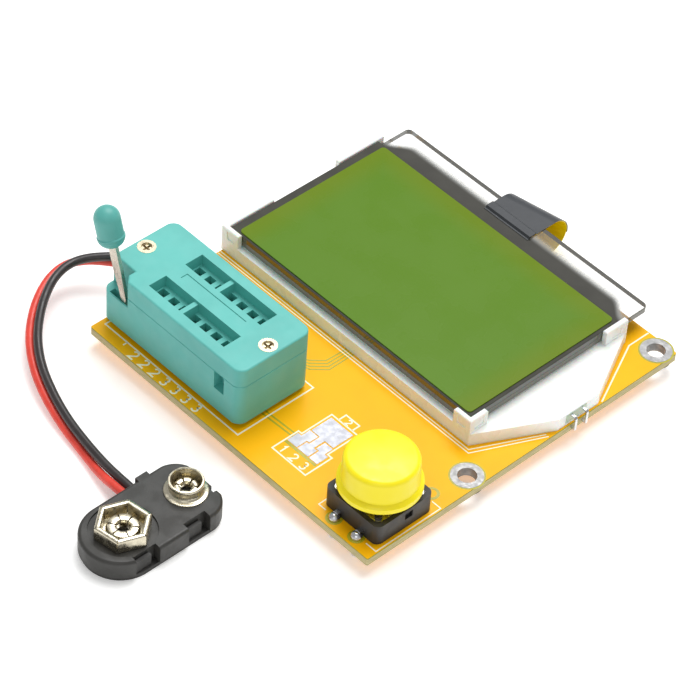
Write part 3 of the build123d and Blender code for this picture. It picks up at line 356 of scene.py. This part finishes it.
def ledge_material():
    """The rear glass ledge, with painted shade: a painted dark shadow near the display fades to painted
    white, the floor seen through the glass, towards the ledge's free edge.
    """
    low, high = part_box("rear_glass")
    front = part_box("front_glass")[1].y
    surface = Surface("ledge_glass", tint(72, 70, 64), 0.06).set(Coat_Weight=0.5, Coat_Roughness=0.03)
    depth = surface.math("SUBTRACT", surface.axis("Y"), front)
    from_left = surface.math("SUBTRACT", surface.axis("X"), low.x)
    from_right = surface.math("SUBTRACT", high.x, surface.axis("X"))
    # Painted shadow: the dark band fades out with rounded ends near the ledge's left and right ends.
    corner = surface.span(surface.math("MINIMUM", from_left, from_right), 0.5 * MM, 5 * MM, 2.6 * MM, 0.0)
    painted_shadow_fade = surface.span(surface.math("ADD", depth, corner), 3.1 * MM, 5.6 * MM)
    rim = surface.span(surface.upward(), 0.75, 0.95, 1.0, 0.0)
    # Painted shadow colour near the display, blending to painted white of the floor seen through the
    # glass at the free edge.
    glass = surface.blend(painted_shadow_fade, surface.mottled(tint(70, 69, 64), 4.0, 0.08), tint(240, 243, 240))
    surface.colour(surface.blend(rim, glass, tint(92, 92, 80)))
    cover = surface.math("MAXIMUM", surface.span(painted_shadow_fade, 0.0, 1.0, 1.0, 0.14), rim)
    surface.link(cover, surface.shader.inputs["Alpha"])
    surface.bumped(surface.noise(5.0, 2.0), 0.003)
    return surface.material


def acrylic_material(name, colour, roughness=0.3):
    """White or milky light-spreading acrylic."""
    surface = Surface(name, colour, roughness).set(Subsurface_Weight=0.25, Subsurface_Scale=0.001)
    surface.colour(surface.mottled(colour, 5.0, 0.03))
    surface.smudged(roughness - 0.08, roughness + 0.08, 3.0)
    surface.bumped(surface.noise(0.6, 3.0), 0.005)
    return surface.material


def solder_material(name, colour, roughness=0.2):
    """Tin: bright, wavy where it froze."""
    surface = Surface(name, colour, roughness, metallic=1.0)
    surface.colour(surface.mottled(colour, 1.2, 0.12))
    surface.smudged(roughness - 0.05, roughness + 0.18, 0.8)
    surface.bumped(surface.noise(1.1, 2.0), 0.05)
    return surface.material


def ink_material():
    """White printed ink, a little uneven."""
    surface = Surface("silk_ink", SILK, 0.6)
    surface.colour(surface.mottled(SILK, 0.5, 0.05))
    surface.bumped(surface.noise(0.15, 3.0), 0.006)
    return surface.material


def vinyl_material(name, colour):
    """Soft extruded lead insulation."""
    surface = Surface(name, colour, 0.36)
    surface.colour(surface.mottled(colour, 2.5, 0.08))
    surface.smudged(0.3, 0.45, 1.5)
    surface.bumped(surface.noise(0.4, 3.0), 0.01)
    return surface.material


TEAL = tint(98, 189, 181)
KNOB_TEAL = tint(88, 172, 164)
NICKEL = tint(214, 206, 184)
STEEL = tint(205, 198, 184)
TIN = tint(212, 214, 218)
BLACK_PLASTIC = tint(44, 42, 40)
BLACK_EPOXY = tint(34, 34, 36)

silk_ink = ink_material()
tin = solder_material("tin", TIN)
nickel = metal("nickel", NICKEL, 0.26, depth=0.0015, drift=0.07)
covered_copper = film("covered_copper", MASK_OVER_COPPER, 0.36, 0.3)
black_epoxy = moulded("black_epoxy", BLACK_EPOXY, 0.5, 0.12)

DRESSED = {
    "circuit_board": board_material(),
    "hole_plating": solder_material("levelled_solder", tint(152, 152, 152), 0.4),
    "test_pads": metal("tinned_pad", tint(172, 173, 180), 0.45, depth=0.001, drift=0.04),
    "light_guide": acrylic_material("light_guide_acrylic", tint(244, 247, 243)),
    "edge_light": acrylic_material("edge_light_resin", tint(190, 205, 180)),
    "edge_light_leads": tin,
    "diffuser_film": film("diffuser", tint(225, 228, 222), 0.5),
    "rear_polariser": film("rear_polariser", tint(96, 104, 70), 0.4),
    "rear_glass": ledge_material(),
    "front_glass": glass_material("front_glass", tint(66, 66, 58)),
    "front_polariser": display_material(),
    "driver_chip": glass_material("silicon", tint(40, 40, 48), 0.15),
    "flex_tail": film("polyimide", tint(255, 222, 0), 0.3, 0.1),
    "cover_tape": film("cover_tape", tint(60, 63, 67), 0.4),
    "flex_connector": moulded("ivory_nylon", tint(222, 214, 190), 0.45),
    "socket_base": moulded("teal_base", TEAL, 0.5, 0.3, 0.016, 0.04),
    "socket_cover": moulded("teal_cover", TEAL, 0.5, 0.3, 0.016, 0.04),
    "socket_screws": metal("screw_plating", tint(214, 203, 176), 0.32, depth=0.001, drift=0.05),
    "contact_slider": moulded("teal_slider", scaled(TEAL, 0.8), 0.5),
    "socket_contacts": metal("contact_bronze", tint(206, 190, 140), 0.25),
    "socket_lever": metal("lever_steel", STEEL, 0.3, (6, 6, 0.6), 0.0015, 0.06),
    "lever_knob": moulded("teal_knob", KNOB_TEAL, 0.42, 0.35, 0.012),
    "switch_base": moulded("switch_plastic", BLACK_PLASTIC, 0.48, 0.3, 0.01),
    "switch_plate": metal("switch_steel", tint(226, 224, 216), 0.24, (1, 8, 1)),
    "contact_dome": metal("dome_steel", tint(214, 212, 204), 0.25),
    "switch_stem": moulded("stem_plastic", BLACK_PLASTIC, 0.45),
    "button_cap": moulded("yellow_cap", tint(255, 236, 12), 0.36, 0.4, 0.006, 0.015),
    "switch_terminals": tin,
    "lead_ends": tin,
    "microcontroller": black_epoxy,
    "microcontroller_leads": tin,
    "voltage_regulator": black_epoxy,
    "crystal": metal("crystal_lid", tint(214, 212, 206), 0.3),
    "transistors": black_epoxy,
    "chip_resistors": film("resistor_glaze", tint(30, 30, 34), 0.3, 0.4),
    "chip_capacitors": moulded("capacitor_ceramic", tint(176, 148, 112), 0.55),
    "snap_shell": moulded("snap_vinyl", tint(50, 49, 46), 0.5, 0.35, 0.02),
    "snap_plate": moulded("snap_plate_vinyl", tint(46, 45, 43), 0.55, 0.35, 0.02),
}
for name, material in DRESSED.items():
    nodes[name].data.materials.clear()
    nodes[name].data.materials.append(material)
black_insulation.data.materials.append(vinyl_material("black_vinyl", tint(50, 44, 44)))
red_insulation.data.materials.append(vinyl_material("red_vinyl", tint(226, 70, 56)))


# ------------------------------------------------------------------ mesh helpers
def add_piece(name, mesh, material, body, smooth=False):
    """Put a bmesh into the scene as one piece that rides on a body."""
    bmesh.ops.remove_doubles(mesh, verts=mesh.verts, dist=1e-7)
    bmesh.ops.recalc_face_normals(mesh, faces=mesh.faces)
    data = bpy.data.meshes.new(name)
    mesh.to_mesh(data)
    mesh.free()
    data.materials.append(material)
    piece = bpy.data.objects.new(name, data)
    bpy.context.scene.collection.objects.link(piece)
    if smooth:
        data.shade_smooth()
        data.set_sharp_from_angle(angle=radians(40))
    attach(piece, body)
    return piece


def prism(mesh, outline, z0, z1):
    """Add a closed block with the given outline, in millimetres off the board's corner."""
    low = [mesh.verts.new(at(x, y, z0)) for x, y in outline]
    high = [mesh.verts.new(at(x, y, z1)) for x, y in outline]
    mesh.faces.new(high)
    mesh.faces.new(low[::-1])
    for i in range(len(outline)):
        j = (i + 1) % len(outline)
        mesh.faces.new((low[i], low[j], high[j], high[i]))


def stroke(mesh, points, width, z0, z1, closed=False):
    """Add a line of even width through the points, with mitred corners."""
    path = [Vector(point) for point in points]
    count = len(path)
    left, right = [], []
    for i, point in enumerate(path):
        back = path[i - 1] if closed or i > 0 else None
        ahead = path[(i + 1) % count] if closed or i < count - 1 else None
        steps = ((back, point), (point, ahead))
        runs = [(b - a).normalized() for a, b in steps if a is not None and b is not None]
        sides = [Vector((-run.y, run.x)) for run in runs]
        mitre = sum(sides, Vector((0, 0))).normalized()
        reach = width / 2 / max(mitre.dot(sides[0]), 0.35)
        left.append(point + mitre * reach)
        right.append(point - mitre * reach)
    rings = [
        [mesh.verts.new(at(spot.x, spot.y, z)) for spot, z in ((a, z0), (b, z0), (b, z1), (a, z1))]
        for a, b in zip(left, right)
    ]
    for i in range(count if closed else count - 1):
        j = (i + 1) % count
        for k in range(4):
            m = (k + 1) % 4
            mesh.faces.new((rings[i][k], rings[i][m], rings[j][m], rings[j][k]))
    if not closed:
        mesh.faces.new(rings[0][::-1])
        mesh.faces.new(rings[-1])


def arc(x, y, radius_x, radius_y, start, end, steps=10):
    """Points along part of an ellipse, angles in degrees."""
    angles = [radians(start + (end - start) * i / steps) for i in range(steps + 1)]
    return [(x + radius_x * cos(angle), y + radius_y * sin(angle)) for angle in angles]


def revolve(mesh, centre, profile, sides=48):
    """Add a round body: its profile is a closed outline of (radius, height) points."""
    rings = []
    for radius, height in profile:
        if radius < 1e-6:
            rings.append([mesh.verts.new(at(centre[0], centre[1], height))])
            continue
        rings.append(
            [
                mesh.verts.new(at(centre[0] + radius * cos(turn), centre[1] + radius * sin(turn), height))
                for turn in (2 * pi * i / sides for i in range(sides))
            ]
        )
    for lower, upper in zip(rings, rings[1:] + rings[:1]):
        for i in range(sides):
            j = (i + 1) % sides
            if len(lower) == len(upper) == 1:
                break
            if len(lower) == 1:
                mesh.faces.new((lower[0], upper[j], upper[i]))
            elif len(upper) == 1:
                mesh.faces.new((lower[i], lower[j], upper[0]))
            else:
                mesh.faces.new((lower[i], lower[j], upper[j], upper[i]))


# ------------------------------------------------------------------ printing on the board
INK = 0.03
COPPER = 0.04
SILK_WIDTH = 0.26
FINE_SILK = 0.2


def glyph(digit):
    """Strokes of a plain digit, one unit high and centred on its foot line's middle."""
    if digit == "1":
        return [[(-0.2, 0.78), (0.02, 1.0), (0.02, 0.0)]]
    if digit == "2":
        return [arc(0, 0.72, 0.29, 0.28, 165, -35, 9) + [(-0.3, 0.0), (0.32, 0.0)]]
    return [arc(-0.02, 0.76, 0.25, 0.24, 150, -90, 9), arc(-0.02, 0.27, 0.3, 0.27, 90, -150, 10)]


def write_digits(mesh, text, x, y, pitch, height, width):
    """Add digits in a row, their foot line at y."""
    for i, digit in enumerate(text):
        for line in glyph(digit):
            points = [(x + pitch * i + px * height, y + py * height) for px, py in line]
            stroke(mesh, points, width, 0, INK)


pads_low, pads_high = extent("test_pads")

silk = bmesh.new()
# Round the test socket, with the way numbers in front of it.
stroke(silk, [(1.1, 18.3), (1.1, 2.2), (33.3, 2.2), (33.3, 18.3)], SILK_WIDTH, 0, INK, closed=True)
stroke(silk, [(6.6, 2.2), (6.6, 1.3)], SILK_WIDTH, 0, INK)
write_digits(silk, "2223333", 9.5, 0.25, 2.54, 1.75, 0.3)
# Round the test pads, with their numbers.
PAD_WINDOW = [
    (38.8, 4.5),
    (38.8, 10.1),
    (39.55, 10.1),
    (39.55, 16.55),
    (45.5, 16.55),
    (45.5, 10.15),
    (46.5, 10.15),
    (46.5, 4.5),
]
stroke(silk, PAD_WINDOW, SILK_WIDTH, 0, INK, closed=True)
stroke(silk, [(41.1, 16.6), (41.1, 18.2), (44.2, 18.2), (44.2, 16.6)], SILK_WIDTH, 0, INK)
write_digits(silk, "123", 40.2, 4.9, 2.35, 1.55, 0.26)
write_digits(silk, "2", 42.6, 16.75, 0, 1.2, 0.26)
# Corners round the push button.
stroke(silk, [(52.3, 4.0), (52.3, 2.0), (53.9, 2.0)], FINE_SILK, 0, INK)
stroke(silk, [(62.9, 2.05), (65.1, 2.05), (65.1, 15.8), (63.2, 15.8)], FINE_SILK, 0, INK)
stroke(silk, [(52.3, 14.0), (52.3, 15.8), (53.9, 15.8)], FINE_SILK, 0, INK)
# Round the display: its sides run past the guide's wing to the board's edge.
for shift in (0.0, 0.55):
    line = [(0.2, 27.3 + shift), (59.5 - shift, 27.3 + shift), (65.1 - shift, 39.6)]
    stroke(silk, line, FINE_SILK, 0, INK)
stroke(silk, [(65.2, 51.6), (59.2, 64.2), (59.2, 68.8)], SILK_WIDTH, 0, INK)
add_piece("board_printing", silk, silk_ink, "board")

tracks = bmesh.new()
for i in range(4):
    shift = 0.53 * i
    stroke(
        tracks,
        [(28.25 + shift, 21.9 - 0.42 * i), (30.1 + 0.62 * i, 24.0 - 0.33 * i), (30.3 + 0.53 * i, 28.3)],
        0.26,
        0,
        COPPER / 2,
    )
    stroke(tracks, [(22.0 + shift, 18.6), (28.25 + shift, 21.9 - 0.42 * i)], 0.26, 0, COPPER / 2)
for shift in (0.0, 0.75):
    stroke(tracks, [(30.0, 8.2 + shift), (39.4, 8.6 + shift)], 0.3, 0, COPPER / 2)
add_piece("copper_tracks", tracks, covered_copper, "board")

# Bare rims where the mask opens round pads and holes.
rims = bmesh.new()
RIM = 0.5
plate_centre = middle("switch_base")
TERMINALS = [(plate_centre[0] + dx, plate_centre[1] + dy) for dx in (-2.5, 2.5) for dy in (-6.9, 6.9)]
for x, y in TERMINALS:
    stroke(rims, arc(x, y, 1.15, 1.15, 0, 345, 23), RIM, 0, COPPER / 2, closed=True)
stroke(rims, arc(61.9, 16.9, 1.1, 1.1, 0, 345, 23), RIM, 0, COPPER / 2, closed=True)
for x, y in ((62.8, 23.8), (62.8, 66.8)):
    stroke(rims, arc(x, y, 2.85, 2.85, 0, 354, 59), 0.28, 0, COPPER / 2, closed=True)
pads_outline = [
    (pads_low.x - 0.1, pads_low.y - 0.6),
    (pads_high.x + 0.1, pads_low.y - 0.6),
    (pads_high.x + 0.1, pads_low.y - 0.1),
    (pads_low.x - 0.1, pads_low.y - 0.1),
]
prism(rims, pads_outline, 0, COPPER / 2)
add_piece("mask_rims", rims, covered_copper, "board")

# ------------------------------------------------------------------ solder
CONTACTS_IN_ROW = 7
PITCH = 2.54
PIN_INSET_X = 0.15
PIN_INSET_Y = 0.8
FILLET_STEPS = 6
FILLET_END = FLOOR + 0.1
FILLET_TIP = 0.08


def joint_profile(foot, neck, top, bottom):
    """A concave fillet of solder hanging from the board."""
    curve = []
    for i in range(FILLET_STEPS + 1):
        turn = pi / 2 * i / FILLET_STEPS
        radius = neck + (foot - neck) * (1 - sin(turn))
        height = top + (bottom - top) * (1 - cos(turn))
        curve.append((radius, height))
    return [(0.0, top), *curve, (0.0, bottom - FILLET_TIP)]


solder = bmesh.new()
contacts_low, contacts_high = extent("socket_contacts")
for row in (contacts_low.y + PIN_INSET_Y, contacts_high.y - PIN_INSET_Y):
    for i in range(CONTACTS_IN_ROW):
        place = (contacts_low.x + PIN_INSET_X + PITCH * i, row)
        revolve(solder, place, joint_profile(0.95, 0.32, UNDERSIDE, FILLET_END), 20)
for x, y in TERMINALS:
    revolve(solder, (x, y), joint_profile(1.1, 0.6, UNDERSIDE, FILLET_END), 24)
solder_piece = add_piece("solder_fillets", solder, tin, "board", smooth=True)
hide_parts("solder_joints")

# Beads of solder over the switch's terminals.
BEAD = [(0.0, 0.0), (0.95, 0.0), (1.0, 0.12), (0.92, 0.45), (0.72, 0.75), (0.42, 0.98), (0.0, 1.08)]
beads = bmesh.new()
for x, y in TERMINALS:
    revolve(beads, (x, y), BEAD, 24)
add_piece("solder_beads", beads, tin, "board", smooth=True)

# ------------------------------------------------------------------ battery contacts
HEX_CENTRE = middle("hex_contact")
STUD_CENTRE = middle("stud_contact")
hex_low, hex_high = extent("hex_contact")
stud_low, stud_high = extent("stud_contact")
LIP_COUNT = 6
LIP_TURN = 39
LIP_RADIUS = 3.62
# Half a lip's length over its distance from the middle; whole sides that meet would have 0.577.
LIP_SPREAD = 0.5609
PETAL_COUNT = 6
PETAL_TURN = 10


def sheet_strip(mesh, profile, along, place):
    """Add a strip of the given (out, height) profile between the two ends in along, mapped by place."""
    rings = [[mesh.verts.new(place(out, side, height)) for out, height in profile] for side in along]
    mesh.faces.new(rings[0][::-1])
    mesh.faces.new(rings[1])
    for i in range(len(profile)):
        j = (i + 1) % len(profile)
        mesh.faces.new((rings[0][i], rings[0][j], rings[1][j], rings[1][i]))


def petal(mesh, centre, turn, half_angle, inner, outer, base, top):
    """Add one springy petal of a contact's crown: it rises from the plate and curls in to the hole."""
    thick = 0.16
    outside = [
        (outer, base),
        (outer - 0.05, base + 0.55 * (top - base)),
        (outer - 0.3, base + 0.92 * (top - base)),
        (outer - 0.65, top),
        (inner + 0.25, top - 0.12),
        (inner, top - 0.5),
    ]
    inside = [(radius - 0.04, height - thick) for radius, height in outside[::-1][:-1]]
    inside.append((outer - thick, base))
    profile = outside + inside
    rings = []
    for side in (-1, -0.5, 0, 0.5, 1):
        angle = turn + side * half_angle
        rings.append(
            [
                mesh.verts.new(at(centre[0] + out * cos(angle), centre[1] + out * sin(angle), height))
                for out, height in profile
            ]
        )
    mesh.faces.new(rings[0][::-1])
    mesh.faces.new(rings[-1])
    for first, second in zip(rings, rings[1:]):
        for i in range(len(profile)):
            j = (i + 1) % len(profile)
            mesh.faces.new((first[i], first[j], second[j], second[i]))


hexagon = bmesh.new()
lip = [
    (0.46, hex_low.z + 0.7),
    (0.46, hex_high.z - 0.34),
    (0.41, hex_high.z - 0.13),
    (0.28, hex_high.z - 0.03),
    (-0.24, hex_high.z - 0.03),
    (-0.38, hex_high.z - 0.12),
    (-0.44, hex_high.z - 0.32),
    (-0.4, hex_low.z + 1.3),
    (-0.55, hex_low.z + 0.7),
]
for i in range(LIP_COUNT):
    turn = radians(60 * i + LIP_TURN)
    outward = Vector((cos(turn), sin(turn)))
    sideways = Vector((-sin(turn), cos(turn)))

    def lip_place(out, side, height):
        spot = Vector(HEX_CENTRE) + (outward + sideways * side) * (LIP_RADIUS + out)
        return at(spot.x, spot.y, height)

    sheet_strip(hexagon, lip, (-LIP_SPREAD, LIP_SPREAD), lip_place)
revolve(
    hexagon,
    HEX_CENTRE,
    [(1.0, hex_low.z + 0.02), (3.75, hex_low.z + 0.02), (3.75, hex_low.z + 0.8), (1.0, hex_low.z + 0.62)],
)
for i in range(PETAL_COUNT):
    turn = radians(60 * i + PETAL_TURN)
    petal(hexagon, HEX_CENTRE, turn, radians(26), 1.0, 2.75, hex_low.z + 0.6, hex_low.z + 2.1)
hexagon_piece = add_piece("hexagon_clip", hexagon, nickel, "board", smooth=True)
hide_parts("hex_contact")

ring = bmesh.new()
foot = stud_low.z
rim = stud_high.z
revolve(
    ring,
    STUD_CENTRE,
    [
        (1.0, foot + 0.02),
        (3.55, foot + 0.02),
        (3.6, foot + 0.5),
        (3.52, foot + 0.72),
        (3.3, foot + 0.82),
        (3.0, foot + 0.8),
        (2.72, foot + 1.0),
        (2.6, foot + 1.4),
        (2.62, rim - 1.1),
        (2.74, rim - 0.75),
        (2.86, rim - 0.5),
        (2.85, rim - 0.2),
        (2.72, rim - 0.04),
        (2.52, rim - 0.02),
        (2.4, rim - 0.16),
        (2.38, rim - 0.5),
        (2.3, foot + 1.2),
        (2.2, foot + 0.7),
        (1.0, foot + 0.5),
    ],
    64,
)
for i in range(PETAL_COUNT):
    turn = radians(60 * i + PETAL_TURN)
    petal(ring, STUD_CENTRE, turn, radians(22), 0.8, 2.1, foot + 0.5, foot + 1.75)
ring_piece = add_piece("ring_stud", ring, nickel, "board", smooth=True)
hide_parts("stud_contact")

# ------------------------------------------------------------------ floor, light and view
FLOOR_HALF = 1.5
floor = bmesh.new()
bmesh.ops.create_grid(floor, x_segments=1, y_segments=1, size=FLOOR_HALF)
floor_data = bpy.data.meshes.new("floor")
floor.to_mesh(floor_data)
floor.free()
paper = Surface("paper", (0.93, 0.93, 0.925, 1.0), 0.9)
paper.colour(paper.mottled((0.95, 0.95, 0.945, 1.0), 300.0, 0.005))
paper.shader.inputs["Emission Color"].default_value = (1.0, 1.0, 0.99, 1.0)
paper.shader.inputs["Emission Strength"].default_value = 0.26
floor_data.materials.append(paper.material)
floor_piece = bpy.data.objects.new("floor", floor_data)
bpy.context.scene.collection.objects.link(floor_piece)


def softbox(name, place, target, size, power):
    """A square studio light aimed at a point."""
    data = bpy.data.lights.new(name, "AREA")
    data.shape = "SQUARE"
    data.size = size
    data.energy = power
    lamp = bpy.data.objects.new(name, data)
    bpy.context.scene.collection.objects.link(lamp)
    lamp.location = place
    lamp.rotation_euler = (Vector(target) - Vector(place)).to_track_quat("-Z", "Y").to_euler()


softbox("key", (-0.12, 0.25, 0.75), (0, 0, 0), 0.55, 6.0)
softbox("fill", (0.5, -0.6, 0.6), (0, 0, 0), 0.5, 1.0)

world = bpy.data.worlds.new("studio")
bpy.context.scene.world = world
world.use_nodes = True
background = world.node_tree.nodes["Background"]
background.inputs["Color"].default_value = (1.0, 1.0, 1.0, 1.0)
background.inputs["Strength"].default_value = 0.42
bpy.context.scene.view_settings.view_transform = "Standard"

bpy.context.view_layer.update()
